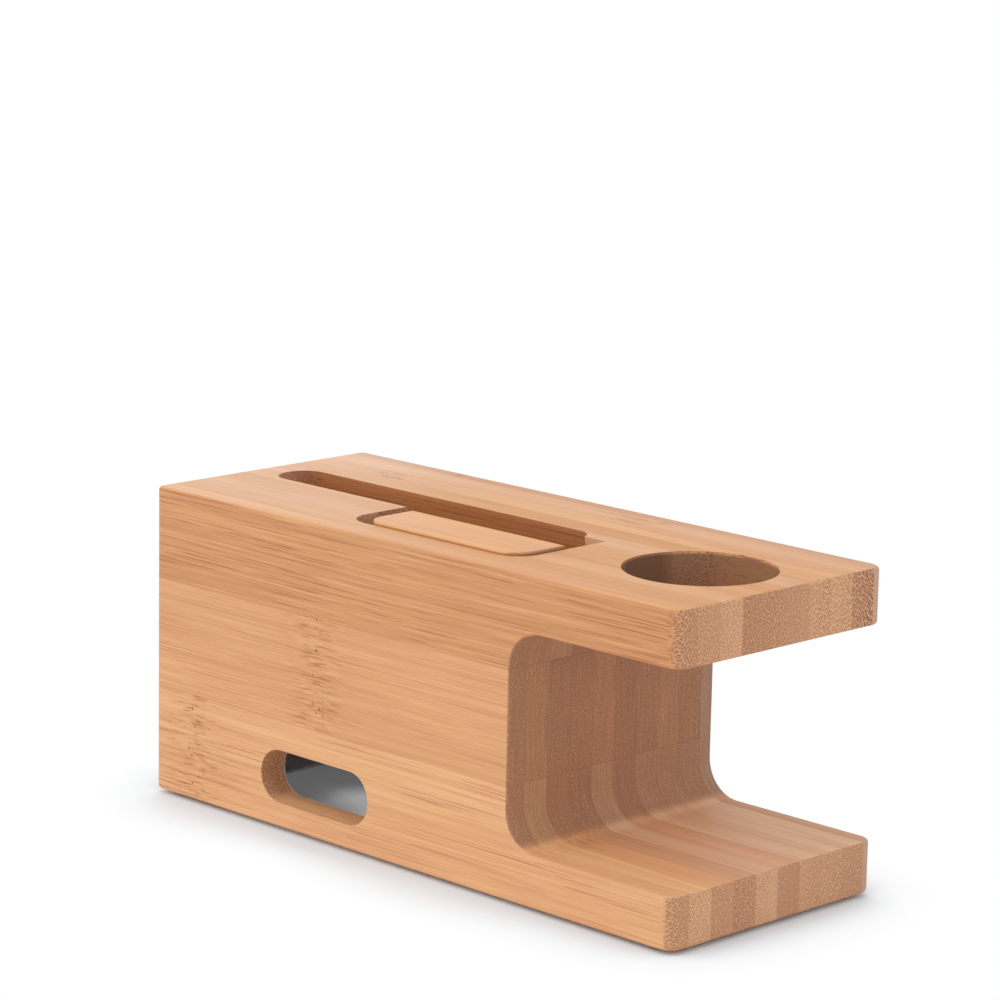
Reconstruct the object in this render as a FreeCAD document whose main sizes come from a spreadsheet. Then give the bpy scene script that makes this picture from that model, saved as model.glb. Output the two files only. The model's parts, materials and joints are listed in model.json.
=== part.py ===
import FreeCAD, Part
import Sketcher
import math
import os

# A bamboo charging dock. A block is glued up from three layers of ten upright strips and then milled:
# a strap gap leaves an arm over a base, a leaning slot holds a device, a round seat in the arm holds a
# charging puck, and a chamber underneath takes the cables. A loose cover closes the pocket beside the slot.
# Millimetres. X runs along the block towards the arm, +Y is the side the screen faces, +Z is up,
# and the origin is on the table under the middle of the dock.

doc = FreeCAD.newDocument("charging_dock")
sheet = doc.addObject("Spreadsheet::Sheet", "sizes")

SIZES = [
    ("length", 136.0, "block, along X"),
    ("width", 54.0, "block, along Y"),
    ("height", 60.0, "block, along Z, without the feet"),
    ("foot_height", 0.8, "anti-slip pad thickness"),
    ("foot_diameter", 7.0, "anti-slip pad diameter"),
    ("foot_inset", 5.5, "pad centre from the block's sides and ends"),
    ("arm_thick", 10.4, "arm over the strap gap"),
    ("base_thick", 9.7, "base under the strap gap"),
    ("gap_depth", 40.0, "strap gap, from the arm's tip to its inner wall"),
    ("gap_corner", 7.0, "inner corner radius of the strap gap"),
    ("tip_round", 3.2, "upright corners at the tips of arm and base"),
    ("heel_round", 1.3, "upright corners at the closed end"),
    ("edge_ease", 0.7, "sanded top and bottom edges"),
    ("gap_ease", 0.5, "sanded edges of the strap gap"),
    ("slot_heel_wall", 6.0, "wood left between the device slot and the closed end"),
    ("slot_arm_wall", 11.0, "wood left between the device slot and the strap gap"),
    ("slot_width", 8.7, "device slot, wall to wall"),
    ("slot_rim", 0.15, "front rim of the slot, in front of its glue line"),
    ("slot_toe", 3.75, "front corner of the slot's floor, in front of its glue line"),
    ("slot_web", 16.7, "wood left between the chamber and that corner"),
    ("plug_length", 12.0, "plug hole in the slot's floor, along X"),
    ("plug_width", 7.0, "plug hole in the slot's floor, along Y"),
    ("pocket_lead", 0.5, "cover pocket's first wall, before the middle of the slot"),
    ("pocket_arm_wall", 6.0, "wood left between the cover pocket and the strap gap"),
    ("pocket_wall", 7.4, "wood left between the pocket and the rear face"),
    ("pocket_depth", 12.0, "cover pocket, below the top face"),
    ("pocket_corner", 5.5, "cover pocket's upright corners"),
    ("shaft_diameter", 7.0, "cable shaft from the pocket down to the chamber"),
    ("cable_gap", 5.0, "open gap between the cover and the pocket's first wall"),
    ("cover_clearance", 0.4, "cover to the pocket's other walls"),
    ("cover_setback", 3.0, "cover behind the slot's leaning wall, level"),
    ("cover_proud", 0.65, "cover above the top face"),
    ("cover_ease", 0.5, "sanded top edges of the cover"),
    ("cover_corner", 4.0, "cover's upright corner at the cable gap"),
    ("chamber_heel_wall", 8.0, "wood left between the cable chamber and the closed end"),
    ("chamber_rear_wall", 6.0, "wood left behind the chamber"),
    ("chamber_front_wall", 5.0, "wood left in front of the chamber"),
    ("chamber_height", 17.0, "cable chamber, up from the underside"),
    ("chamber_corner", 5.0, "cable chamber's upright corners"),
    ("window_length", 29.4, "cable window in the rear face, along X"),
    ("window_height", 10.2, "cable window, along Z"),
    ("window_sill", 4.8, "wood left under the window"),
    ("puck_diameter", 28.0, "puck seat in the arm"),
    ("puck_depth", 7.5, "puck seat, below the arm's top"),
    ("push_hole", 8.0, "hole in the seat's floor, to push the puck out"),
    ("lead_slot", 5.0, "slot from the push hole for the puck's lead"),
    ("lead_rim", 1.0, "floor left between the lead slot and the seat's wall"),
    ("bottom_layer", 20.8, "thickness of the bottom layer of strips"),
    ("top_layer", 17.8, "thickness of the top layer of strips"),
    ("rear_strip", 4.3, "width of the trimmed strip at the rear face"),
    ("front_strip", 3.4, "width of the trimmed strip at the front face"),
]

for row, (name, value, note) in enumerate(SIZES, start=1):
    sheet.set(f"A{row}", note)
    sheet.set(f"B{row}", str(value))
    sheet.setAlias(f"B{row}", name)
doc.recompute()

STRIPS = 10
ORIGIN = FreeCAD.Vector(0, 0, 0)
UP = FreeCAD.Vector(0, 0, 1)

# Places that several features share, written once from the sheet.
TOP = "(sizes.foot_height + sizes.height)"
HEEL = "(-sizes.length / 2)"
REAR = "(-sizes.width / 2)"
GAP_WALL = "(sizes.length / 2 - sizes.gap_depth)"

# Glue lines across the block. The two outer strips are trimmed, and the others share what is left.
INNER_STRIP = f"((sizes.width - sizes.rear_strip - sizes.front_strip) / {STRIPS - 2})"
GLUE_LINES = [f"({REAR} + sizes.rear_strip + {INNER_STRIP} * {i})" for i in range(STRIPS - 1)]

# The plug hole, the cable shaft and the push hole are centred on glue lines, so that each strip keeps a web
# beside the hole.
PLUG_Y = GLUE_LINES[7]
SHAFT_Y = GLUE_LINES[2]
PUSH_Y = GLUE_LINES[4]

# The device slot's front wall goes from its rim, at one glue line, down to its toe, at another. That sets the
# lean, which comes to 30 degrees from upright.
CHAMBER_TOP = "(sizes.foot_height + sizes.chamber_height)"
RIM_Y = f"({GLUE_LINES[5]} + sizes.slot_rim)"
TOE_Y = f"({PLUG_Y} + sizes.slot_toe)"
TOE_Z = f"({CHAMBER_TOP} + sizes.slot_web)"
LEAN = f"atan(({TOE_Y} - {RIM_Y}) / ({TOP} - {TOE_Z}))"
SLOT_LENGTH = "(sizes.length - sizes.gap_depth - sizes.slot_heel_wall - sizes.slot_arm_wall)"
SLOT_DEPTH = f"(({TOP} - {TOE_Z}) / cos({LEAN}) + sizes.slot_width * tan({LEAN}))"
SLOT_X = f"({HEEL} + sizes.slot_heel_wall + {SLOT_LENGTH} / 2)"
SLOT_Y = f"({RIM_Y} - sizes.slot_width / cos({LEAN}))"

POCKET_START = f"({SLOT_X} - sizes.pocket_lead)"
POCKET_END = f"({GAP_WALL} - sizes.pocket_arm_wall)"
POCKET_FLOOR = f"({TOP} - sizes.pocket_depth)"
POCKET_REAR = f"({REAR} + sizes.pocket_wall)"
POCKET_FRONT = f"({SLOT_Y} + sizes.pocket_depth * tan({LEAN}))"
CHAMBER_LENGTH = f"(2 * ({SLOT_X} - {HEEL} - sizes.chamber_heel_wall))"
PUCK_X = "(sizes.length / 2 - sizes.gap_depth / 2)"


def number(expression):
    """The value of an expression, in millimetres."""
    return float(sheet.evalExpression(expression))


def flat_sketch(body, name, role, x="0", y="0", z="0"):
    """An empty sketch on one of the body's own planes, with its origin moved to x, y, z of that plane."""
    sketch = body.newObject("Sketcher::SketchObject", name)
    plane = next(p for p in body.Origin.OriginFeatures if p.Role == role)
    sketch.AttachmentSupport = [(plane, "")]
    sketch.MapMode = "FlatFace"
    sketch.setExpression("AttachmentOffset.Base.x", x)
    sketch.setExpression("AttachmentOffset.Base.y", y)
    sketch.setExpression("AttachmentOffset.Base.z", z)
    return sketch


def constrain(sketch, kind, *where, name, size):
    """A named dimension tied to an expression."""
    place = sketch.addConstraint(Sketcher.Constraint(kind, *where, number(size)))
    sketch.renameConstraint(place, name)
    sketch.setExpression(f"Constraints.{name}", size)


def draw_circle(sketch, diameter):
    """A circle about the sketch's origin."""
    ring = sketch.addGeometry(Part.Circle(ORIGIN, UP, number(diameter) / 2))
    sketch.addConstraint(Sketcher.Constraint("Coincident", ring, 3, -1, 1))
    constrain(sketch, "Diameter", ring, name="diameter", size=diameter)


def draw_rectangle(sketch, across, along):
    """A rectangle with its middle at the sketch's origin."""
    half_x = number(across) / 2
    half_y = number(along) / 2
    corners = [(-half_x, -half_y), (half_x, -half_y), (half_x, half_y), (-half_x, half_y)]
    points = [FreeCAD.Vector(x, y, 0) for x, y in corners]
    sides = [sketch.addGeometry(Part.LineSegment(points[i], points[(i + 1) % 4])) for i in range(4)]
    for i in range(4):
        sketch.addConstraint(Sketcher.Constraint("Coincident", sides[i], 2, sides[(i + 1) % 4], 1))
    for i in (0, 2):
        sketch.addConstraint(Sketcher.Constraint("Horizontal", sides[i]))
        sketch.addConstraint(Sketcher.Constraint("Vertical", sides[i + 1]))
    sketch.addConstraint(Sketcher.Constraint("Symmetric", sides[0], 1, sides[1], 2, -1, 1))
    constrain(sketch, "DistanceX", sides[0], 1, sides[0], 2, name="across", size=across)
    constrain(sketch, "DistanceY", sides[1], 1, sides[1], 2, name="along", size=along)


def draw_obround(sketch, across, along):
    """A slot with round ends, with its middle at the sketch's origin and its length along X."""
    radius = number(along) / 2
    reach = number(across) / 2 - radius
    quarter = math.pi / 2
    right = Part.Circle(FreeCAD.Vector(reach, 0, 0), UP, radius)
    left = Part.Circle(FreeCAD.Vector(-reach, 0, 0), UP, radius)
    right_end = sketch.addGeometry(Part.ArcOfCircle(right, -quarter, quarter))
    left_end = sketch.addGeometry(Part.ArcOfCircle(left, quarter, 3 * quarter))
    upper = Part.LineSegment(FreeCAD.Vector(reach, radius, 0), FreeCAD.Vector(-reach, radius, 0))
    lower = Part.LineSegment(FreeCAD.Vector(-reach, -radius, 0), FreeCAD.Vector(reach, -radius, 0))
    upper_side = sketch.addGeometry(upper)
    lower_side = sketch.addGeometry(lower)
    sketch.addConstraint(Sketcher.Constraint("Tangent", right_end, 2, upper_side, 1))
    sketch.addConstraint(Sketcher.Constraint("Tangent", upper_side, 2, left_end, 1))
    sketch.addConstraint(Sketcher.Constraint("Tangent", left_end, 2, lower_side, 1))
    sketch.addConstraint(Sketcher.Constraint("Tangent", lower_side, 2, right_end, 1))
    sketch.addConstraint(Sketcher.Constraint("Symmetric", left_end, 3, right_end, 3, -1, 1))
    sketch.addConstraint(Sketcher.Constraint("Horizontal", upper_side))
    sketch.addConstraint(Sketcher.Constraint("Equal", left_end, right_end))
    constrain(sketch, "Diameter", right_end, name="along", size=along)
    constrain(sketch, "DistanceX", left_end, 3, right_end, 3, name="reach", size=f"{across} - {along}")


def pad(body, name, sketch, length):
    """A pad to both sides of its sketch."""
    feature = body.newObject("PartDesign::Pad", name)
    feature.Profile = sketch
    feature.SideType = "Symmetric"
    feature.setExpression("Length", length)
    doc.recompute()
    return feature


def pocket(body, name, sketch, length, reverse=False, both=False):
    """A cut of a given length, which has to take material away."""
    before = body.Shape.Volume
    feature = body.newObject("PartDesign::Pocket", name)
    feature.Profile = sketch
    feature.Reversed = reverse
    if both:
        feature.SideType = "Symmetric"
    feature.setExpression("Length", length)
    doc.recompute()
    if body.Shape.Volume > before - 1:
        raise RuntimeError(f"{name} cuts nothing")
    return feature


def fillet(body, name, base, radius, chosen):
    """Round the edges of base whose middle and direction pass the test."""
    names = []
    for place, edge in enumerate(base.Shape.Edges, start=1):
        middle = edge.valueAt((edge.FirstParameter + edge.LastParameter) / 2)
        heading = edge.tangentAt((edge.FirstParameter + edge.LastParameter) / 2)
        if chosen(middle, heading):
            names.append(f"Edge{place}")
    feature = body.newObject("PartDesign::Fillet", name)
    feature.Base = (base, names)
    feature.setExpression("Radius", radius)
    doc.recompute()
    return feature


def near(a, b):
    """True where two numbers agree to a hundredth."""
    return abs(a - b) < 0.01


# The milled block, as one body. The outline comes first, with its rounded corners and sanded edges.
block = doc.addObject("PartDesign::Body", "milled_block")

outline = flat_sketch(block, "block_outline", "XZ_Plane", y="sizes.foot_height + sizes.height / 2")
draw_rectangle(outline, "sizes.length", "sizes.height")
blank = pad(block, "block_blank", outline, "sizes.width")

gap = flat_sketch(block, "strap_gap_outline", "XZ_Plane", x=f"{GAP_WALL} + sizes.gap_depth",
                  y=f"({TOP} - sizes.arm_thick + sizes.foot_height + sizes.base_thick) / 2")
draw_rectangle(gap, "2 * sizes.gap_depth", "sizes.height - sizes.arm_thick - sizes.base_thick")
gap_cut = pocket(block, "strap_gap", gap, "2 * sizes.width", both=True)

half_length = number("sizes.length / 2")
half_width = number("sizes.width / 2")
wall_x = number(GAP_WALL)
floor_z = number("sizes.foot_height")
roof_z = number(TOP)

gap_corners = fillet(block, "gap_corners", gap_cut, "sizes.gap_corner",
                     lambda middle, heading: near(abs(heading.y), 1) and near(middle.x, wall_x))
tip_corners = fillet(block, "tip_corners", gap_corners, "sizes.tip_round",
                     lambda middle, heading: near(abs(heading.z), 1) and near(middle.x, half_length))
heel_corners = fillet(block, "heel_corners", tip_corners, "sizes.heel_round",
                      lambda middle, heading: near(abs(heading.z), 1) and near(middle.x, -half_length))
sanded_faces = fillet(block, "sanded_faces", heel_corners, "sizes.edge_ease",
                      lambda middle, heading: near(middle.z, floor_z) or near(middle.z, roof_z))


def on_gap_rim(middle, heading):
    """True on the rim of the strap gap: along the arm, down the wall's two sides and along the base."""
    lower = number("sizes.foot_height + sizes.base_thick")
    upper = number(f"{TOP} - sizes.arm_thick")
    inside = lower - 0.01 < middle.z < upper + 0.01
    runs_along_y = near(abs(heading.y), 1)
    at_side = near(abs(middle.y), half_width) and middle.x > wall_x - 0.01
    at_tip = middle.x > half_length - number("sizes.tip_round") - 0.01
    level = near(middle.z, lower) or near(middle.z, upper)
    return inside and ((at_side and not runs_along_y) or (at_tip and level))


sanded_gap = fillet(block, "sanded_gap", sanded_faces, "sizes.gap_ease", on_gap_rim)

# The device slot. Its sketch leans, so its cut goes down the lean, and its first side is the rear wall.
slot = flat_sketch(block, "device_slot_outline", "XY_Plane", x=SLOT_X,
                   y=f"{SLOT_Y} + sizes.slot_width / 2 * cos({LEAN})",
                   z=f"{TOP} + sizes.slot_width / 2 * sin({LEAN})")
slot.AttachmentOffset = FreeCAD.Placement(ORIGIN, FreeCAD.Rotation(FreeCAD.Vector(1, 0, 0), 1))
slot.setExpression("AttachmentOffset.Rotation.Angle", LEAN)
draw_obround(slot, SLOT_LENGTH, "sizes.slot_width")
pocket(block, "device_slot", slot, SLOT_DEPTH)

# The pocket for the cover. It runs into the slot as far as the leaning wall at the pocket's floor.
cover_bed = flat_sketch(block, "cover_pocket_outline", "XY_Plane",
                        x=f"({POCKET_START} + {POCKET_END}) / 2",
                        y=f"({POCKET_REAR} + {POCKET_FRONT}) / 2", z=TOP)
draw_rectangle(cover_bed, f"{POCKET_END} - {POCKET_START}", f"{POCKET_FRONT} - {POCKET_REAR}")
bed = pocket(block, "cover_pocket", cover_bed, "sizes.pocket_depth")
bed_rear = number(POCKET_REAR)
bed_ends = [number(POCKET_START), number(POCKET_END)]
fillet(block, "cover_pocket_corners", bed, "sizes.pocket_corner",
       lambda middle, heading: near(abs(heading.z), 1) and near(middle.y, bed_rear)
       and any(near(middle.x, end) for end in bed_ends))

# The cable chamber underneath, with its window in the rear face.
chamber = flat_sketch(block, "cable_chamber_outline", "XY_Plane", x=SLOT_X,
                      y="(sizes.chamber_rear_wall - sizes.chamber_front_wall) / 2", z="sizes.foot_height")
draw_rectangle(chamber, CHAMBER_LENGTH, "sizes.width - sizes.chamber_rear_wall - sizes.chamber_front_wall")
hollow = pocket(block, "cable_chamber", chamber, "sizes.chamber_height", reverse=True)
chamber_ends = [number(f"{SLOT_X} - {CHAMBER_LENGTH} / 2"), number(f"{SLOT_X} + {CHAMBER_LENGTH} / 2")]
fillet(block, "cable_chamber_corners", hollow, "sizes.chamber_corner",
       lambda middle, heading: near(abs(heading.z), 1) and any(near(middle.x, end) for end in chamber_ends))

window = flat_sketch(block, "cable_window_outline", "XZ_Plane", x=SLOT_X,
                     y="sizes.foot_height + sizes.window_sill + sizes.window_height / 2",
                     z="sizes.width / 2")
draw_obround(window, "sizes.window_length", "sizes.window_height")
pocket(block, "cable_window", window, "2 * sizes.chamber_rear_wall")

# The ways between them: a plug hole up into the slot's floor and a cable shaft up into the pocket.
plug = flat_sketch(block, "plug_hole_outline", "XY_Plane", x=SLOT_X, y=PLUG_Y, z=CHAMBER_TOP)
draw_obround(plug, "sizes.plug_length", "sizes.plug_width")
pocket(block, "plug_hole", plug, "sizes.slot_web", reverse=True)

shaft = flat_sketch(block, "cable_shaft_outline", "XY_Plane",
                    x=f"{POCKET_START} + sizes.shaft_diameter / 2", y=SHAFT_Y, z=POCKET_FLOOR)
draw_circle(shaft, "sizes.shaft_diameter")
pocket(block, "cable_shaft", shaft, f"{POCKET_FLOOR} - {CHAMBER_TOP}")

# The puck seat in the arm: a round seat, and in its floor a push hole with a slot for the puck's lead.
seat = flat_sketch(block, "puck_seat_outline", "XY_Plane", x=PUCK_X, z=TOP)
draw_circle(seat, "sizes.puck_diameter")
pocket(block, "puck_seat", seat, "sizes.puck_depth")

push = flat_sketch(block, "push_hole_outline", "XY_Plane", x=PUCK_X, y=PUSH_Y, z=TOP)
draw_circle(push, "sizes.push_hole")
pocket(block, "push_hole", push, "2 * sizes.arm_thick")

LEAD_LENGTH = "(sizes.puck_diameter / 2 - sizes.lead_rim)"
lead = flat_sketch(block, "lead_slot_outline", "XY_Plane", x=f"{PUCK_X} - {LEAD_LENGTH} / 2", y=PUSH_Y,
                   z=f"{TOP} - sizes.puck_depth")
draw_obround(lead, LEAD_LENGTH, "sizes.lead_slot")
pocket(block, "lead_slot", lead, "sizes.arm_thick")

# The block is cut along its glue lines, first into three layers and then into strips.
edges_y = ["-sizes.width"] + GLUE_LINES + ["sizes.width"]
layer_z = {
    "bottom": ("0", "sizes.foot_height + sizes.bottom_layer"),
    "middle": ("sizes.foot_height + sizes.bottom_layer", f"{TOP} - sizes.top_layer"),
    "top": (f"{TOP} - sizes.top_layer", f"2 * {TOP}"),
}


def slab(name, y0, y1, z0, z1):
    """A cutting block over the whole length, between two heights and two places across."""
    box = doc.addObject("Part::Box", name)
    box.setExpression("Length", "2 * sizes.length")
    box.setExpression("Width", f"({y1}) - ({y0})")
    box.setExpression("Height", f"({z1}) - ({z0})")
    box.setExpression("Placement.Base.x", "-sizes.length")
    box.setExpression("Placement.Base.y", y0)
    box.setExpression("Placement.Base.z", z0)
    return box


def common(name, base, tool):
    """What two shapes share."""
    part = doc.addObject("Part::Common", name)
    part.Base = base
    part.Tool = tool
    return part


pieces = []
for layer, (z0, z1) in layer_z.items():
    board = common(f"{layer}_board", block, slab(f"{layer}_slab", "-sizes.width", "sizes.width", z0, z1))
    doc.recompute()
    for i in range(STRIPS):
        name = f"{layer}_strip_{i + 1:02d}"
        cutter = slab(f"{name}_slab", edges_y[i], edges_y[i + 1], z0, z1)
        strip = common(name, board, cutter)
        strip.Label = name
        pieces.append(strip)
    doc.recompute()

# The cable cover lies on the pocket's floor.
cover = doc.addObject("PartDesign::Body", "cover_body")
cover.Label = "cable_cover"
COVER_LENGTH = f"({POCKET_END} - {POCKET_START} - sizes.cable_gap - sizes.cover_clearance)"
COVER_HEIGHT = "(sizes.pocket_depth + sizes.cover_proud)"
COVER_X = f"({POCKET_START} + sizes.cable_gap + {COVER_LENGTH} / 2)"
COVER_REAR = f"({POCKET_REAR} + sizes.cover_clearance)"
COVER_FRONT = f"({POCKET_FRONT} - sizes.cover_setback)"

plan = flat_sketch(cover, "cover_plan", "XY_Plane", x=COVER_X, y=f"({COVER_REAR} + {COVER_FRONT}) / 2",
                   z=f"{POCKET_FLOOR} + {COVER_HEIGHT} / 2")
draw_rectangle(plan, COVER_LENGTH, f"{COVER_FRONT} - {COVER_REAR}")
cover_blank = pad(cover, "cover_blank", plan, COVER_HEIGHT)

# Its front side leans as the slot's wall does, some way behind it.
lean = flat_sketch(cover, "cover_lean", "XY_Plane", x=COVER_X,
                   y=f"{COVER_FRONT} + sizes.slot_width * cos({LEAN})",
                   z=f"{POCKET_FLOOR} + sizes.slot_width * sin({LEAN})")
lean.AttachmentOffset = FreeCAD.Placement(ORIGIN, FreeCAD.Rotation(FreeCAD.Vector(1, 0, 0), 1))
lean.setExpression("AttachmentOffset.Rotation.Angle", LEAN)
draw_rectangle(lean, f"2 * {COVER_LENGTH}", "2 * sizes.slot_width")
lean_cut = pocket(cover, "cover_lean_cut", lean, "4 * sizes.pocket_depth", both=True)

cover_rear = number(COVER_REAR)
cover_start = number(f"{COVER_X} - {COVER_LENGTH} / 2")
cover_end = number(f"{COVER_X} + {COVER_LENGTH} / 2")
cover_top = number(f"{POCKET_FLOOR} + {COVER_HEIGHT}")
far_corner = fillet(cover, "cover_far_corner", lean_cut, "sizes.pocket_corner",
                    lambda middle, heading: near(middle.y, cover_rear) and near(middle.x, cover_end))
near_corner = fillet(cover, "cover_near_corner", far_corner, "sizes.cover_corner",
                     lambda middle, heading: near(middle.y, cover_rear) and near(middle.x, cover_start))
fillet(cover, "cover_sanded_top", near_corner, "sizes.cover_ease",
       lambda middle, heading: near(middle.z, cover_top))
pieces.append(cover)

# Anti-slip pads, one under each corner of the underside.
for name, side_x, side_y in [("foot_block_rear", "-", "-"), ("foot_block_front", "-", "+"),
                             ("foot_arm_rear", "+", "-"), ("foot_arm_front", "+", "+")]:
    foot = doc.addObject("Part::Cylinder", name)
    foot.Label = name
    foot.setExpression("Radius", "sizes.foot_diameter / 2")
    foot.setExpression("Height", "sizes.foot_height")
    foot.setExpression("Placement.Base.x", f"{side_x}(sizes.length / 2 - sizes.foot_inset)")
    foot.setExpression("Placement.Base.y", f"{side_y}(sizes.width / 2 - sizes.foot_inset)")
    pieces.append(foot)

doc.recompute()

for item in doc.Objects:
    if "Invalid" in item.State or "Error" in item.State:
        raise RuntimeError(f"{item.Name} failed: {item.State}")
for piece in pieces:
    if piece.Shape.isNull() or not piece.Shape.isValid():
        raise RuntimeError(f"{piece.Label} has no valid shape")

os.makedirs("parts", exist_ok=True)
for piece in pieces:
    piece.Shape.exportStep(f"parts/{piece.Label}.step")
    print(piece.Label, len(piece.Shape.Solids), round(piece.Shape.Volume, 1))
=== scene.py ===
# %% [markdown]
# # A bamboo charging dock
#
# The dock is a block of laminated bamboo. Three layers of ten upright strips are glued together, and the
# block is milled afterwards, so every face shows the same strips from another side. The shapes come ready
# from the frame: one mesh per strip, one for the loose cover and one for each foot. What is left for this
# lesson is the finish, and with bamboo that is nearly everything: the dots of the end grain, the dashes of
# the side grain, the knuckles and the glue lines all come from one solid pattern.

# %% Load the frame
import bpy
import json
import math
from mathutils import Matrix, Vector


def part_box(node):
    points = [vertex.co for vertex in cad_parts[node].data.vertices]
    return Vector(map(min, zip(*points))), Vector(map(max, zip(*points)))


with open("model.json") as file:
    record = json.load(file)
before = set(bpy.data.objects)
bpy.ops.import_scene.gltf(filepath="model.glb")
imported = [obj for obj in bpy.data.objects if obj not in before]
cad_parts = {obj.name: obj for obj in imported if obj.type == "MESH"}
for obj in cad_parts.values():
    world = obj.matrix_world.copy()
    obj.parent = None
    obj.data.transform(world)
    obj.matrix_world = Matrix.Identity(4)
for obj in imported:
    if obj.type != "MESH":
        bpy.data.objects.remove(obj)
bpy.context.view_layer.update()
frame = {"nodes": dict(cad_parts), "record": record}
print("pieces in the frame:", len(frame["nodes"]))

# %% [markdown]
# ## The camera
#
# The view is from above the rear face, about half way round to the arm, with a long lens, so the edges of
# the block run nearly parallel. A camera can be aimed with a Track To constraint, but then it can't lean.
# This one leans by about a degree, so its three axes are worked out and given as a matrix.

# %% Camera
azimuth = math.radians(44.80)
elevation = math.radians(11.73)
lean = math.radians(1.16)
aim = Vector((-0.00271, 0.00076, 0.0648))
distance = 0.7078

back = Vector((math.sin(azimuth) * math.cos(elevation),
               -math.cos(azimuth) * math.cos(elevation),
               math.sin(elevation)))
level_right = Vector((math.cos(azimuth), math.sin(azimuth), 0))
level_up = back.cross(level_right)
right = math.cos(lean) * level_right + math.sin(lean) * level_up
up = math.cos(lean) * level_up - math.sin(lean) * level_right

lens = bpy.data.cameras.new("camera")
lens.lens = 137.95
lens.sensor_width = 36
camera = bpy.data.objects.new("camera", lens)
bpy.context.collection.objects.link(camera)
turn = Matrix((right, up, back)).transposed().to_4x4()
camera.matrix_world = Matrix.Translation(aim + distance * back) @ turn
bpy.context.scene.camera = camera
print("camera stands at", [round(v, 3) for v in camera.matrix_world.translation])

# %% [markdown]
# ## Light
#
# The dock stands in a white light tent. A bright world gives the even light and the soft contact shadow,
# and one wide lamp on the camera's left makes the long face a little brighter than the ends. Together they
# light a level face at about strength one, so a colour comes out about as it is written. A small, dim and
# cool panel beyond the closed end adds hardly any light, but the oiled top reflects it, and that gives the
# pale sheen on that corner.

# %% World and lights
scene = bpy.context.scene
scene.view_settings.view_transform = "Standard"

world = bpy.data.worlds.new("light_tent")
world.use_nodes = True
scene.world = world
tent = world.node_tree.nodes["Background"]
tent.inputs["Color"].default_value = (1.0, 1.0, 1.0, 1.0)
tent.inputs["Strength"].default_value = 0.84


def hang(light):
    """Put a light into the scene, and hand back the object that holds it."""
    holder = bpy.data.objects.new(light.name, light)
    bpy.context.collection.objects.link(holder)
    return holder


lamp = bpy.data.lights.new("window_light", "SUN")
lamp.energy = 0.82
lamp.angle = math.radians(60)
lamp_side = Vector((-0.35, -0.75, 0.75))
hang(lamp).rotation_euler = lamp_side.to_track_quat("Z", "Y").to_euler()

panel = bpy.data.lights.new("sheen_panel", "AREA")
panel.size = 0.08
panel.energy = 0.040
panel.color = (0.68, 0.90, 1.0)
panel_holder = hang(panel)
panel_holder.location = (-0.204, 0.119, 0.102)
sheen_spot = Vector((-0.060, -0.015, 0.061))
panel_aim = sheen_spot - panel_holder.location
panel_holder.rotation_euler = panel_aim.to_track_quat("-Z", "Y").to_euler()
panel_holder.visible_camera = False
print("world strength", round(tent.inputs["Strength"].default_value, 2))

# %% [markdown]
# ## Small helpers for the node trees
#
# A finish like this takes a few dozen nodes. Written out one by one they hide the idea, so a few helpers
# add a node, plug in what they are given, and hand back its output. Each takes a plain number or a socket.

# %% Helpers for numbers
def plug(tree, value, socket):
    """Connect a socket, or set a plain value."""
    if isinstance(value, bpy.types.NodeSocket):
        tree.links.new(value, socket)
    else:
        socket.default_value = value


def calc(tree, operation, *values):
    """One step of arithmetic."""
    node = tree.nodes.new("ShaderNodeMath")
    node.operation = operation
    for value, socket in zip(values, node.inputs):
        plug(tree, value, socket)
    return node.outputs["Value"]


def product(tree, first, *others):
    """All the values multiplied. With masks, that is where all of them are."""
    for other in others:
        first = calc(tree, "MULTIPLY", first, other)
    return first


def step_up(tree, value, low, high):
    """0 below low, 1 above high, and a soft step between. With low above high it steps down instead."""
    node = tree.nodes.new("ShaderNodeMapRange")
    node.interpolation_type = "SMOOTHSTEP"
    plug(tree, value, node.inputs["Value"])
    plug(tree, low, node.inputs["From Min"])
    plug(tree, high, node.inputs["From Max"])
    return node.outputs["Result"]


def between(tree, amount, first, second):
    """A number part of the way from first to second."""
    node = tree.nodes.new("ShaderNodeMix")
    plug(tree, amount, node.inputs["Factor"])
    plug(tree, first, node.inputs["A"])
    plug(tree, second, node.inputs["B"])
    return node.outputs["Result"]


print("number helpers ready")


# %% Helpers for colours and patterns
def tint(tree, amount, first, second):
    """A colour part of the way from first to second. The colour sockets of a Mix node go by number."""
    node = tree.nodes.new("ShaderNodeMix")
    node.data_type = "RGBA"
    plug(tree, amount, node.inputs[0])
    plug(tree, first, node.inputs[6])
    plug(tree, second, node.inputs[7])
    return node.outputs[2]


def joined(tree, first, second, third):
    """Three numbers as one vector."""
    node = tree.nodes.new("ShaderNodeCombineXYZ")
    for value, socket in zip((first, second, third), node.inputs):
        plug(tree, value, socket)
    return node.outputs["Vector"]


def stretched(tree, vector, along, across):
    """Coordinates drawn out along the grain: a small number along X makes a long pattern."""
    node = tree.nodes.new("ShaderNodeVectorMath")
    node.operation = "MULTIPLY"
    plug(tree, vector, node.inputs[0])
    node.inputs[1].default_value = (along, across, across)
    return node.outputs["Vector"]


def clouds(tree, vector, detail):
    """Soft noise from 0 to 1."""
    node = tree.nodes.new("ShaderNodeTexNoise")
    plug(tree, vector, node.inputs["Vector"])
    node.inputs["Scale"].default_value = 1.0
    node.inputs["Detail"].default_value = detail
    return node.outputs["Fac"]


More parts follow.
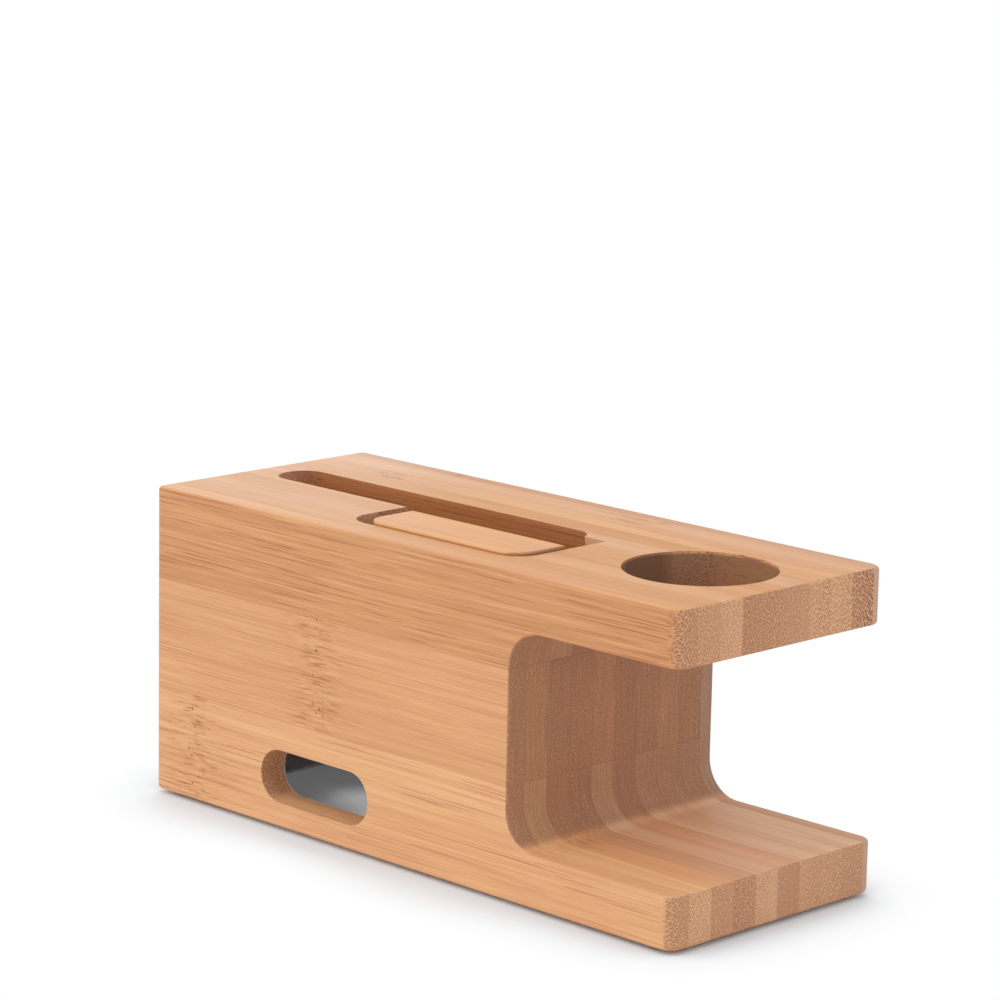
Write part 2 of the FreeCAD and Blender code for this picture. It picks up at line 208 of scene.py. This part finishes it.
def cells(tree, vector, flat=False, scatter=0.8):
    """A field of cells: the distance to the nearest cell's middle, and that cell's own random number."""
    node = tree.nodes.new("ShaderNodeTexVoronoi")
    node.voronoi_dimensions = "2D" if flat else "3D"
    node.inputs["Randomness"].default_value = scatter
    plug(tree, vector, node.inputs["Vector"])
    node.inputs["Scale"].default_value = 1.0
    channels = tree.nodes.new("ShaderNodeSeparateColor")
    tree.links.new(node.outputs["Color"], channels.inputs["Color"])
    return node.outputs["Distance"], channels.outputs["Red"]


print("pattern helpers ready")

# %% [markdown]
# ## The floor
#
# The floor is white paper. Where the dock hides part of the sky from it, within two centimetres, it keeps
# its shadow. Further off, what the camera sees of it fades to plain white, as in a picture with its
# background cleared. An Ambient Occlusion node tells the two apart. Rays that only carry light from the
# floor to the dock see paper everywhere, so the dock isn't lit any more than before.

# %% Floor
REACH = 20
SHADOW_REACH = 0.022
LIT_PAPER = (0.93, 0.94, 0.95, 1)
SHADED_PAPER = (0.77, 0.84, 0.90, 1)

floor_mesh = bpy.data.meshes.new("floor")
floor_mesh.from_pydata([(-REACH, -REACH, 0), (REACH, -REACH, 0), (REACH, REACH, 0), (-REACH, REACH, 0)],
                       [], [(0, 1, 2, 3)])
floor = bpy.data.objects.new("floor", floor_mesh)
bpy.context.collection.objects.link(floor)

floor_paper = bpy.data.materials.new("floor_paper")
floor_paper.use_nodes = True
floor_mesh.materials.append(floor_paper)
paper_tree = floor_paper.node_tree
paper = paper_tree.nodes["Principled BSDF"]
paper.inputs["Roughness"].default_value = 0.9
paper.inputs["Specular IOR Level"].default_value = 0.0
print("floor reaches", REACH, "m each way")

# %% Shadow on white
occlusion = paper_tree.nodes.new("ShaderNodeAmbientOcclusion")
occlusion.inputs["Distance"].default_value = SHADOW_REACH
open_sky = occlusion.outputs["AO"]
# Painted light: deep under the dock, where the window shows the floor, a little of the white glow stays, so
# that shaded floor reads grey and not black.
glow_under_dock = calc(paper_tree, "MULTIPLY_ADD", step_up(paper_tree, open_sky, 0.0, 0.30), 0.07, 0.02)
away = between(paper_tree, step_up(paper_tree, open_sky, 0.50, 0.98), glow_under_dock, 1.0)
rays = paper_tree.nodes.new("ShaderNodeLightPath").outputs
seen = calc(paper_tree, "MAXIMUM", rays["Is Camera Ray"], rays["Is Glossy Ray"])
seen = calc(paper_tree, "MAXIMUM", seen, rays["Is Transmission Ray"])

paper_colour = tint(paper_tree, seen, LIT_PAPER, SHADED_PAPER)
paper_tree.links.new(paper_colour, paper.inputs["Base Color"])
white = paper_tree.nodes.new("ShaderNodeEmission")
white.inputs["Strength"].default_value = 1.0
blend = paper_tree.nodes.new("ShaderNodeMixShader")
paper_tree.links.new(product(paper_tree, seen, away), blend.inputs["Fac"])
paper_tree.links.new(paper.outputs["BSDF"], blend.inputs[1])
paper_tree.links.new(white.outputs["Emission"], blend.inputs[2])
paper_tree.links.new(blend.outputs["Shader"], paper_tree.nodes["Material Output"].inputs["Surface"])
print("shadow is kept within", SHADOW_REACH, "m of the dock")

# %% [markdown]
# ## The bamboo pattern
#
# A bamboo stem is pale pith with brown bundles of fibre running up it like wires in a cable. Cut across,
# each bundle is a dot; cut along, it is a long dash. An image could show one or the other. A solid pattern
# gives both at once, and lines up round every edge, so the grain is a node group that reads the place in
# the block and not the face. The bundles are darker towards the stem's skin and paler inside.

# %% Settings of the grain group
MM_PER_M = 1000
FAR = 1000.0  # a place in millimetres that no strip reaches

NUMBERS = {
    "seed": 0.0,          # moves the strip to a place of its own in the pattern
    "rear_joint": -FAR,   # the glued faces, in y
    "front_joint": FAR,
    "lower_joint": -FAR,  # the glued faces, in z
    "upper_joint": FAR,
    "gap_shade_line": -FAR,         # the height below which the sides get painted shade
    "middle": 0.0,        # the strip's middle, in y
    "skin": 1.0,          # the side of the stem's skin: 1 is the front, -1 is the rear
    "crust": 0.12,        # how brown the strip is towards the skin
    "knuckle": FAR,       # the knuckle's place, in x
    "tangled": 1.0,       # how dark the knuckle's dashes are
    "bundles": 0.6,       # how dark the dots are
    "per_mm": 2.0,        # how many bundles there are to a millimetre
    "lines": 0.5,         # how dark the hair lines are
}
COLOURS = ("pale", "deep", "end")

grain = bpy.data.node_groups.new("bamboo_grain", "ShaderNodeTree")
for name, value in NUMBERS.items():
    socket = grain.interface.new_socket(name, in_out="INPUT", socket_type="NodeSocketFloat")
    socket.default_value = value
for name in COLOURS:
    grain.interface.new_socket(name, in_out="INPUT", socket_type="NodeSocketColor")
grain.interface.new_socket("colour", in_out="OUTPUT", socket_type="NodeSocketColor")
grain.interface.new_socket("roughness", in_out="OUTPUT", socket_type="NodeSocketFloat")
grain.interface.new_socket("height", in_out="OUTPUT", socket_type="NodeSocketFloat")
given = grain.nodes.new("NodeGroupInput").outputs
print("grain group takes", len(NUMBERS), "numbers and", len(COLOURS), "colours")

# %% Places in millimetres
place = grain.nodes.new("ShaderNodeTexCoord").outputs["Object"]
to_mm = grain.nodes.new("ShaderNodeVectorMath")
to_mm.operation = "SCALE"
to_mm.inputs["Scale"].default_value = MM_PER_M
grain.links.new(place, to_mm.inputs[0])
split = grain.nodes.new("ShaderNodeSeparateXYZ")
grain.links.new(to_mm.outputs["Vector"], split.inputs["Vector"])
x, y, z = split.outputs

own_x = calc(grain, "MULTIPLY_ADD", given["seed"], 37.3, x)
own_y = calc(grain, "MULTIPLY_ADD", given["seed"], 11.7, y)
own_z = calc(grain, "MULTIPLY_ADD", given["seed"], 23.9, z)
own_place = joined(grain, own_x, own_y, own_z)
print("each strip reads the pattern at a place of its own")

# %% [markdown]
# ## Fibres that wander
#
# Fibres that ran dead straight would make lines as long as the block. These wander by a fraction of a
# millimetre, so a face cuts in and out of each one and shows dashes.

# %% Fibre places
WANDER_Y = 1.5
WANDER_Z = 0.8


def drawn_out(vector, along, across, detail):
    """Noise drawn out along the grain. Along and across it has so many waves to a millimetre."""
    return clouds(grain, stretched(grain, vector, along, across), detail)


def swing(noise):
    """The same noise, but from -0.5 to 0.5."""
    return calc(grain, "SUBTRACT", noise, 0.5)


wander_y = swing(drawn_out(own_place, along=0.013, across=0.10, detail=1.0))
wander_z = swing(drawn_out(own_place, along=0.010, across=0.05, detail=1.0))
fibre_y = calc(grain, "MULTIPLY_ADD", wander_y, WANDER_Y, own_y)
fibre_z = calc(grain, "MULTIPLY_ADD", wander_z, WANDER_Z, own_z)
fibre_place = joined(grain, own_x, fibre_y, fibre_z)
print("fibres wander by up to", WANDER_Y / 2, "mm")

# %% [markdown]
# ## Which way a face looks
#
# Two masks tell the faces apart. Where the normal points along the block, the fibres are cut across and the
# face is end grain. Where it points up or down, the face is a top or a floor, which is sanded smoother.

# %% Masks from the normal
facing = grain.nodes.new("ShaderNodeNewGeometry").outputs["Normal"]
facing_split = grain.nodes.new("ShaderNodeSeparateXYZ")
grain.links.new(facing, facing_split.inputs["Vector"])
across_grain = step_up(grain, calc(grain, "ABSOLUTE", facing_split.outputs["X"]), 0.28, 0.62)
along_grain = calc(grain, "SUBTRACT", 1.0, across_grain)
upward = step_up(grain, calc(grain, "ABSOLUTE", facing_split.outputs["Z"]), 0.55, 0.90)
print("masks: across the grain, along the grain, upward")

# %% Bundles of fibre
SKIN_FADE = 3.0  # from the strip's middle to its skin side, and to the other side
GRID_TURN = math.radians(32)  # so that the dots don't stand in rows along the edges

offset = calc(grain, "SUBTRACT", y, given["middle"])
near_skin = step_up(grain, product(grain, offset, given["skin"]), -SKIN_FADE, SKIN_FADE)

cross_y = product(grain, fibre_y, given["per_mm"])
cross_z = product(grain, fibre_z, given["per_mm"])
turned = grain.nodes.new("ShaderNodeVectorRotate")
turned.rotation_type = "Z_AXIS"
turned.inputs["Angle"].default_value = GRID_TURN
grain.links.new(joined(grain, cross_y, cross_z, 0.0), turned.inputs["Vector"])
bundle_distance, bundle_number = cells(grain, turned.outputs["Vector"], flat=True, scatter=0.62)

bundle_size = between(grain, near_skin, 0.33, 0.31)
rim = calc(grain, "ADD", bundle_size, 0.09)
heart = calc(grain, "SUBTRACT", bundle_size, 0.13)
own_depth = calc(grain, "MULTIPLY_ADD", bundle_number, 0.45, 0.70)
skin_depth = between(grain, near_skin, 0.70, 1.15)
dot = product(grain, step_up(grain, bundle_distance, rim, heart), own_depth, skin_depth)
pith = product(grain, step_up(grain, bundle_distance, 0.42, 0.68), across_grain)
print("bundles are about", 1 / NUMBERS["per_mm"], "mm apart")

# %% [markdown]
# ## Lines along the grain
#
# Between the bundles the pith itself is streaky. Noises drawn out along the grain give slow drifts of tone,
# soft streaks, a rosy blush here and there, hair-thin dashes and a few longer lines. The highest parts of
# the hair noise are dark and the lowest pale. The dark ones crowd together in some places, and the smooth
# top shows less of all of them.

# %% Streaks and hair lines
HAIR_PER_MM = 3.2

drift = drawn_out(own_place, along=0.010, across=0.10, detail=1.0)
streak = drawn_out(fibre_place, along=0.012, across=0.85, detail=3.0)
blush = step_up(grain, drawn_out(own_place, along=0.022, across=0.22, detail=2.0), 0.44, 0.66)

hair = drawn_out(fibre_place, along=0.042, across=HAIR_PER_MM, detail=2.0)
crowded = step_up(grain, drawn_out(own_place, along=0.016, across=0.30, detail=2.0), 0.36, 0.62)
dark_hair = product(grain, step_up(grain, hair, 0.565, 0.64), along_grain,
                    between(grain, crowded, 0.32, 1.0), between(grain, upward, 1.0, 0.35))
pale_hair = product(grain, step_up(grain, hair, 0.43, 0.34), along_grain, between(grain, upward, 1.0, 0.5))

long_noise = drawn_out(fibre_place, along=0.014, across=3.3, detail=1.0)
long_line = product(grain, step_up(grain, long_noise, 0.64, 0.70), along_grain,
                    between(grain, upward, 1.0, 0.3))
print("hair lines are about", round(1 / HAIR_PER_MM, 1), "mm wide")

# %% [markdown]
# ## Knuckles and glue lines
#
# Every so often a stem has a knuckle, where the bundles bend and tangle. On a strip it is a ragged column
# of short dark and pale dashes, some thirteen millimetres wide, with a few small pits down its middle. Its
# place is a setting, so each strip can have its own. The glue lines are a faint hair at the strip's joints.
# An outer face has no joint, so its setting is far away.

# %% Knuckle
BAND_WIDTH = 6.4
CORE_WIDTH = 1.6
PITTED = 0.28  # the share of the cells that hold a pit

ragged = swing(drawn_out(own_place, along=0.10, across=0.35, detail=3.0))
from_knuckle = calc(grain, "SUBTRACT", x, given["knuckle"])


def column(width, raggedness):
    """1 in the middle of the knuckle, fading out at about width to each side."""
    off_middle = calc(grain, "MULTIPLY_ADD", ragged, raggedness, from_knuckle)
    squared = calc(grain, "POWER", calc(grain, "ABSOLUTE", calc(grain, "DIVIDE", off_middle, width)), 2.0)
    return calc(grain, "EXPONENT", product(grain, squared, -1.0))


band = column(BAND_WIDTH, raggedness=12.0)
core = column(CORE_WIDTH, raggedness=5.0)

curl = swing(drawn_out(own_place, along=0.30, across=0.25, detail=1.0))
bend = product(grain, calc(grain, "ABSOLUTE", from_knuckle), 0.03)
curled_z = calc(grain, "ADD", calc(grain, "MULTIPLY_ADD", curl, 0.7, own_z), bend)
curled_place = joined(grain, own_x, own_y, curled_z)
tangle = drawn_out(curled_place, along=0.23, across=2.5, detail=1.0)
dark_dash = product(grain, band, step_up(grain, tangle, 0.53, 0.68), along_grain)
pale_dash = product(grain, band, step_up(grain, tangle, 0.44, 0.32), along_grain)

pit_distance, pit_number = cells(grain, stretched(grain, own_place, 1.1, 0.85))
pit = product(grain, step_up(grain, pit_distance, 0.38, 0.18), calc(grain, "LESS_THAN", pit_number, PITTED))
knuckle_pits = product(grain, core, pit, along_grain)
print("knuckles are about", round(2 * BAND_WIDTH), "mm wide")


# %% Glue lines
def joint_line(low, high, value):
    """1 on a joint, fading to 0 an eighth of a millimetre away."""
    below = calc(grain, "ABSOLUTE", calc(grain, "SUBTRACT", value, low))
    above = calc(grain, "ABSOLUTE", calc(grain, "SUBTRACT", high, value))
    return step_up(grain, calc(grain, "MINIMUM", below, above), 0.13, 0.03)


glue = calc(grain, "MAXIMUM", joint_line(given["rear_joint"], given["front_joint"], y),
            joint_line(given["lower_joint"], given["upper_joint"], z))
print("glue lines run along the joints in y and z")

# %% [markdown]
# ## The milled walls and their painted shade
#
# The strap gap and the round seat in the arm are cut after the block is sanded, and their walls are left as
# the cutter leaves them, so the gap's wall keeps fine upright marks from the cutter. Both walls also get
# painted shade: brown laid on, as if these deep hollows lay in shade. The frame says where both are: the
# gap starts where the middle strips end, and the seat is one of the part's mounts.

# %% Wall of the gap
def in_mm(box):
    """The two corners of a box, in millimetres."""
    return [[MM_PER_M * value for value in corner] for corner in box]


gap_wall = in_mm(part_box("middle_strip_05"))[1][0]
from_gap = calc(grain, "ABSOLUTE", calc(grain, "SUBTRACT", x, gap_wall))
milled_gap = product(grain, step_up(grain, from_gap, 8.0, 6.0), across_grain)
marks_place = joined(grain, 0.0, product(grain, own_y, 2.4), product(grain, own_z, 0.10))
cutter_marks = clouds(grain, marks_place, detail=2.0)
# Painted shade on the gap's wall, stronger along the cutter marks.
gap_shade_and_marks = product(grain, milled_gap, calc(grain, "MULTIPLY_ADD", cutter_marks, 0.6, 0.12))
print("gap starts at", round(gap_wall, 1), "mm")

# %% Wall of the seat
SEAT_SHADE = 0.72

seat = next(mount for mount in frame["record"]["mounts"] if mount["name"] == "puck_seat")
seat_x, seat_y, seat_z = [MM_PER_M * value for value in seat["pos_m"]]
seat_radius = seat["dims"]["r_mm"]
seat_floor = seat_z - seat["dims"]["length_mm"] / 2
seat_rim = in_mm(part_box("top_strip_05"))[1][2]

to_seat = grain.nodes.new("ShaderNodeVectorMath")
to_seat.operation = "DISTANCE"
grain.links.new(joined(grain, x, y, 0.0), to_seat.inputs[0])
to_seat.inputs[1].default_value = (seat_x, seat_y, 0.0)
within = step_up(grain, to_seat.outputs["Value"], seat_radius + 0.4, seat_radius + 0.1)
below_rim = step_up(grain, z, seat_rim - 0.2, seat_rim - 0.7)
above_floor = step_up(grain, z, seat_floor - 0.4, seat_floor - 0.1)
# Painted shade on the seat's wall, and less of it on the seat's floor.
seat_shade_mask = product(grain, within, below_rim, above_floor, between(grain, upward, 1.0, 0.25))
wall_shade_and_marks = calc(grain, "MULTIPLY_ADD", seat_shade_mask, SEAT_SHADE, gap_shade_and_marks)
print("seat is", 2 * seat_radius, "mm across")

# %% [markdown]
# ## The sealed chamber and the cover's sides
#
# Nobody oils the inside of the cable chamber. It gets a coat of pale grey sealer, and in the shade that is
# the grey that shows in the window. The cover's sides below its top get painted shade, a brown line round
# it where the gap between cover and pocket would be in shade. Both are places, so both are masks: the
# chamber is one of the openings in the record, and the height where the painted shade starts is a setting
# of the cover.

# %% Chamber and painted shade round the cover
WALL_SLACK = 1.75     # the chamber's walls stand this far outside the stated opening, at most
CEILING_SLACK = 0.3   # and so does its ceiling
SOFT_EDGE = 0.2

chamber = next(way for way in frame["record"]["physics"]["openings"] if way["name"] == "cable_chamber")
chamber_low, chamber_high = in_mm(chamber["box_m"])


def inside(value, low, high):
    """1 from low to high and on the walls just outside."""
    off_middle = calc(grain, "ABSOLUTE", calc(grain, "SUBTRACT", value, (low + high) / 2))
    edge = (high - low) / 2 + WALL_SLACK
    return step_up(grain, off_middle, edge + SOFT_EDGE, edge)


ceiling = chamber_high[2] + CEILING_SLACK
sealed = product(grain, inside(x, chamber_low[0], chamber_high[0]),
                 inside(y, chamber_low[1], chamber_high[1]),
                 step_up(grain, z, ceiling + SOFT_EDGE, ceiling))
# Painted shade: the cover's sides below this height are darkened, as if in the shade of the gap round it.
gap_shade_line = step_up(grain, calc(grain, "SUBTRACT", z, given["gap_shade_line"]), 0.06, -0.06)
print("chamber is", round(chamber_high[0] - chamber_low[0]), "mm long")

# %% [markdown]
# ## Colour, gloss and relief
#
# The strip's own two tones are blended by the drifts and streaks, then the lines, bundles, knuckle and glue
# are laid over them in brown. End grain drinks the oil, so it has a tone of its own and is duller. The
# relief is slight: the bundles stand a few hundredths of a millimetre below the pith after sanding.

# %% Colour
CRUST_BROWN = (0.440, 0.190, 0.085, 1)
LINE_BROWN = (0.390, 0.135, 0.052, 1)
BUNDLE_BROWN = (0.205, 0.078, 0.032, 1)
PALE_LINE = (0.900, 0.545, 0.285, 1)
ROSY = (0.700, 0.335, 0.180, 1)
PAINTED_WALL_SHADE = (0.200, 0.110, 0.066, 1)
GAP_SHADE_BROWN = (0.260, 0.095, 0.038, 1)
SEALER_GREY = (0.700, 0.710, 0.730, 1)


def lay(below, mask, strength, paint):
    """A paint laid over the colour below, where the mask is and at some strength."""
    return tint(grain, product(grain, mask, strength), below, paint)


tone = calc(grain, "MULTIPLY_ADD", swing(drift), 0.9, 0.42)
tone = calc(grain, "MULTIPLY_ADD", swing(streak), 0.8, tone)
crust = product(grain, near_skin, given["crust"])
bundle_tone = product(grain, between(grain, across_grain, 0.07, given["bundles"]),
                      calc(grain, "MULTIPLY_ADD", milled_gap, -0.5, 1.0))
glue_tone = calc(grain, "MULTIPLY_ADD", milled_gap, 0.22, 0.16)

colour = tint(grain, step_up(grain, tone, 0.0, 1.0), given["pale"], given["deep"])
colour = lay(colour, blush, 0.45, ROSY)
colour = lay(colour, crust, calc(grain, "SUBTRACT", 1.0, upward), CRUST_BROWN)
colour = lay(colour, across_grain, 0.80, given["end"])
colour = lay(colour, pith, 0.28, PALE_LINE)
colour = lay(colour, pale_hair, 0.28, PALE_LINE)
colour = lay(colour, dark_hair, given["lines"], LINE_BROWN)
colour = lay(colour, product(grain, long_line, given["lines"]), 0.75, LINE_BROWN)
colour = lay(colour, dot, bundle_tone, BUNDLE_BROWN)
colour = lay(colour, band, 0.08, LINE_BROWN)
colour = lay(colour, pale_dash, 0.34, PALE_LINE)
colour = lay(colour, product(grain, dark_dash, given["tangled"]), 0.60, LINE_BROWN)
colour = lay(colour, knuckle_pits, 0.80, BUNDLE_BROWN)
colour = lay(colour, glue, glue_tone, LINE_BROWN)
# Painted shade laid on the milled walls of the gap and the seat.
colour = tint(grain, wall_shade_and_marks, colour, PAINTED_WALL_SHADE)
# Painted shade on the cover's sides below its top.
colour = lay(colour, gap_shade_line, 0.36, GAP_SHADE_BROWN)
colour = lay(colour, sealed, 0.92, SEALER_GREY)
print("coats of colour laid")

# %% Gloss and relief
gloss = calc(grain, "MULTIPLY_ADD", streak, 0.10, 0.42)
gloss = calc(grain, "MULTIPLY_ADD", across_grain, 0.16, gloss)
hollow = calc(grain, "MAXIMUM", product(grain, dot, 0.8), knuckle_pits)
relief = calc(grain, "MULTIPLY_ADD", dark_hair, -0.5, calc(grain, "SUBTRACT", 1.0, hollow))

result = grain.nodes.new("NodeGroupOutput").inputs
grain.links.new(colour, result["colour"])
grain.links.new(gloss, result["roughness"])
grain.links.new(relief, result["height"])
print("grain nodes:", len(grain.nodes))

# %% [markdown]
# ## One finish per strip
#
# Strips are cut from different stems, so each has its own tone, its own run of fibres and its own knuckles.
# Along the grain the tones are close together. Across it they differ more, because some stems take up more
# oil than others, so side and end have a list each. A side has a pale and a deep tone.

# %% Tones
SIDES = {
    "straw": ((0.858, 0.468, 0.223, 1), (0.702, 0.349, 0.157, 1)),
    "honey": ((0.855, 0.452, 0.211, 1), (0.688, 0.330, 0.146, 1)),
    "blush": ((0.810, 0.460, 0.262, 1), (0.690, 0.375, 0.208, 1)),
    "wheat": ((0.815, 0.450, 0.224, 1), (0.665, 0.336, 0.158, 1)),
    "sand": ((0.880, 0.512, 0.263, 1), (0.715, 0.376, 0.184, 1)),
    "cream": ((0.900, 0.540, 0.275, 1), (0.745, 0.405, 0.195, 1)),
    # The shell tone is pale and pinkish grey: partly the wood's own tone, partly a painted sheen where the
    # base top would reflect the bright tent.
    "shell": ((0.850, 0.560, 0.360, 1), (0.735, 0.465, 0.290, 1)),
    "amber": ((0.775, 0.408, 0.180, 1), (0.625, 0.298, 0.124, 1)),
    "rose": ((0.690, 0.400, 0.235, 1), (0.580, 0.320, 0.182, 1)),
}
ENDS = {
    "light": (0.675, 0.375, 0.222, 1),
    "plain": (0.600, 0.313, 0.183, 1),
    "dark": (0.535, 0.274, 0.164, 1),
    "red": (0.500, 0.250, 0.156, 1),
    "pink": (0.565, 0.365, 0.270, 1),
}
print("side tones:", ", ".join(SIDES))
print("end tones:", ", ".join(ENDS))


# %% From the grain to a finish
def bamboo(name, side, end, settings):
    """A bamboo finish with its own tones and its own place in the grain."""
    finish = bpy.data.materials.new(name)
    finish.use_nodes = True
    tree = finish.node_tree
    shader = tree.nodes["Principled BSDF"]
    pattern = tree.nodes.new("ShaderNodeGroup")
    pattern.node_tree = grain
    for key, value in settings.items():
        pattern.inputs[key].default_value = value
    pattern.inputs["pale"].default_value, pattern.inputs["deep"].default_value = SIDES[side]
    pattern.inputs["end"].default_value = ENDS[end]
    bump = tree.nodes.new("ShaderNodeBump")
    bump.inputs["Strength"].default_value = 0.30
    bump.inputs["Distance"].default_value = 0.00006
    tree.links.new(pattern.outputs["height"], bump.inputs["Height"])
    tree.links.new(bump.outputs["Normal"], shader.inputs["Normal"])
    tree.links.new(pattern.outputs["colour"], shader.inputs["Base Color"])
    tree.links.new(pattern.outputs["roughness"], shader.inputs["Roughness"])
    shader.inputs["Specular IOR Level"].default_value = 0.12
    return finish


def dress(node, finish):
    """Put a finish on a piece of the frame."""
    piece = bpy.data.objects[node]
    piece.data.materials.clear()
    piece.data.materials.append(finish)


print("ready to dress the pieces")

# %% [markdown]
# ## The three layers
#
# Each entry below is one strip, from the rear face to the front face: its side and end tone, where its
# knuckle lies along the block in millimetres, how dark its bundles are, and how many there are to a
# millimetre. The rear strips carry the long face, so their knuckles are placed with care: one near the
# closed end at the bottom and one above the window in the middle. In the rear half of a layer the skin of
# the stem was towards the rear, and in the front half towards the front.

# %% The list of strips
LAYERS = {
    # On the bottom layer the shell tone, partly a painted sheen, lies on the far part of the base top.
    "bottom": [("sand", "dark", -57, 0.44, 2.1), ("cream", "light", FAR, 0.40, 2.0),
               ("wheat", "dark", 31, 0.22, 2.1), ("rose", "dark", -30, 0.52, 2.0),
               ("shell", "light", FAR, 0.36, 2.1), ("blush", "red", -12, 0.22, 2.2),
               ("shell", "plain", FAR, 0.40, 2.1), ("shell", "plain", -44, 0.46, 1.9),
               ("shell", "dark", FAR, 0.42, 2.1), ("rose", "pink", -8, 0.22, 2.3)],
    "middle": [("wheat", "dark", -22, 0.52, 2.0), ("honey", "plain", 10, 0.45, 2.1),
               ("straw", "red", -50, 0.46, 2.0), ("honey", "dark", 4, 0.50, 2.1),
               ("honey", "plain", -36, 0.46, 2.0), ("honey", "red", 18, 0.42, 2.2),
               ("straw", "dark", -5, 0.46, 2.0), ("straw", "plain", -60, 0.46, 2.1),
               ("honey", "dark", 22, 0.50, 1.9), ("rose", "pink", 6, 0.25, 2.3)],
    "top": [("honey", "dark", FAR, 0.56, 2.1), ("amber", "plain", FAR, 0.42, 2.1),
            ("wheat", "light", FAR, 0.44, 2.0), ("amber", "red", 2, 0.58, 2.2),
            ("amber", "dark", FAR, 0.52, 2.1), ("blush", "dark", -26, 0.30, 2.1),
            ("amber", "light", FAR, 0.60, 1.7), ("wheat", "light", -46, 0.48, 1.6),
            ("blush", "red", 14, 0.86, 1.6), ("rose", "pink", -38, 0.20, 2.3)],
}
LINES = {"bottom": 0.48, "middle": 0.35, "top": 0.72}
FIRST_SEED = {"bottom": 1, "middle": 12, "top": 23}
LAST_SKIN_TO_REAR = {"bottom": 5, "middle": 5, "top": 6}
SPECIAL = {("top", 1): {"crust": 0.45}, ("bottom", 1): {"tangled": 1.2}}
print("layers listed:", ", ".join(LAYERS))


# %% Dress the strips
def strip_settings(layer, number, knuckle, bundles, per_mm):
    """What one strip hands to the grain: its joints in millimetres, its knuckle and its fibres."""
    low, high = in_mm(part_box(f"{layer}_strip_{number:02d}"))
    settings = {
        "seed": FIRST_SEED[layer] + number,
        "middle": (low[1] + high[1]) / 2,
        "skin": -1.0 if number <= LAST_SKIN_TO_REAR[layer] else 1.0,
        "knuckle": knuckle,
        "bundles": bundles,
        "per_mm": per_mm,
        "lines": LINES[layer],
        **SPECIAL.get((layer, number), {}),
    }
    if number > 1:
        settings["rear_joint"] = low[1]
    if number < len(LAYERS[layer]):
        settings["front_joint"] = high[1]
    if layer != "bottom":
        settings["lower_joint"] = low[2]
    if layer != "top":
        settings["upper_joint"] = high[2]
    return settings


for layer, strips in LAYERS.items():
    for number, (side, end, *fibres) in enumerate(strips, start=1):
        node = f"{layer}_strip_{number:02d}"
        dress(node, bamboo(f"{node}_bamboo", side, end, strip_settings(layer, number, *fibres)))
    print(layer, "layer:", len(strips), "strips")

# %% [markdown]
# ## The cable cover
#
# The loose cover is cut from the same bamboo, as one wide piece with no glue lines. It gets a run of fibres
# that doesn't match its neighbours and painted shade on its sides below the top, so it reads as a separate
# piece.

# %% Cover
SHADE_START_DEPTH = 0.32  # how far down from the cover's top the painted shade starts

cover_low, cover_high = in_mm(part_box("cable_cover"))
cover_settings = {
    "seed": 41,
    "middle": (cover_low[1] + cover_high[1]) / 2,
    "bundles": 0.45,
    "lines": 0.30,
    "gap_shade_line": cover_high[2] - SHADE_START_DEPTH,
}
dress("cable_cover", bamboo("cover_bamboo", "honey", "plain", cover_settings))
print("cover spans", [round(high - low, 1) for low, high in zip(cover_low, cover_high)], "mm")

# %% [markdown]
# ## The feet
#
# Thin soft pads keep the dock from sliding. Dark rubber is nearly black, and dull, with a fine pebbled skin
# from the mould. A noise texture drives both the slight change of tone and the relief.

# %% Feet
PEBBLES_PER_M = 2500
DARK_RUBBER = (0.020, 0.019, 0.018, 1)
PALE_RUBBER = (0.045, 0.042, 0.040, 1)

rubber = bpy.data.materials.new("foot_rubber")
rubber.use_nodes = True
rubber_tree = rubber.node_tree
rubber_shader = rubber_tree.nodes["Principled BSDF"]
rubber_place = rubber_tree.nodes.new("ShaderNodeTexCoord").outputs["Object"]
pebble_place = stretched(rubber_tree, rubber_place, PEBBLES_PER_M, PEBBLES_PER_M)
pebbles = clouds(rubber_tree, pebble_place, detail=3.0)
rubber_colour = tint(rubber_tree, pebbles, DARK_RUBBER, PALE_RUBBER)
rubber_tree.links.new(rubber_colour, rubber_shader.inputs["Base Color"])
rubber_bump = rubber_tree.nodes.new("ShaderNodeBump")
rubber_bump.inputs["Strength"].default_value = 0.35
rubber_bump.inputs["Distance"].default_value = 0.0001
rubber_tree.links.new(pebbles, rubber_bump.inputs["Height"])
rubber_tree.links.new(rubber_bump.outputs["Normal"], rubber_shader.inputs["Normal"])
rubber_shader.inputs["Roughness"].default_value = 0.75
for foot in ("foot_block_rear", "foot_block_front", "foot_arm_rear", "foot_arm_front"):
    dress(foot, rubber)
print("feet dressed")
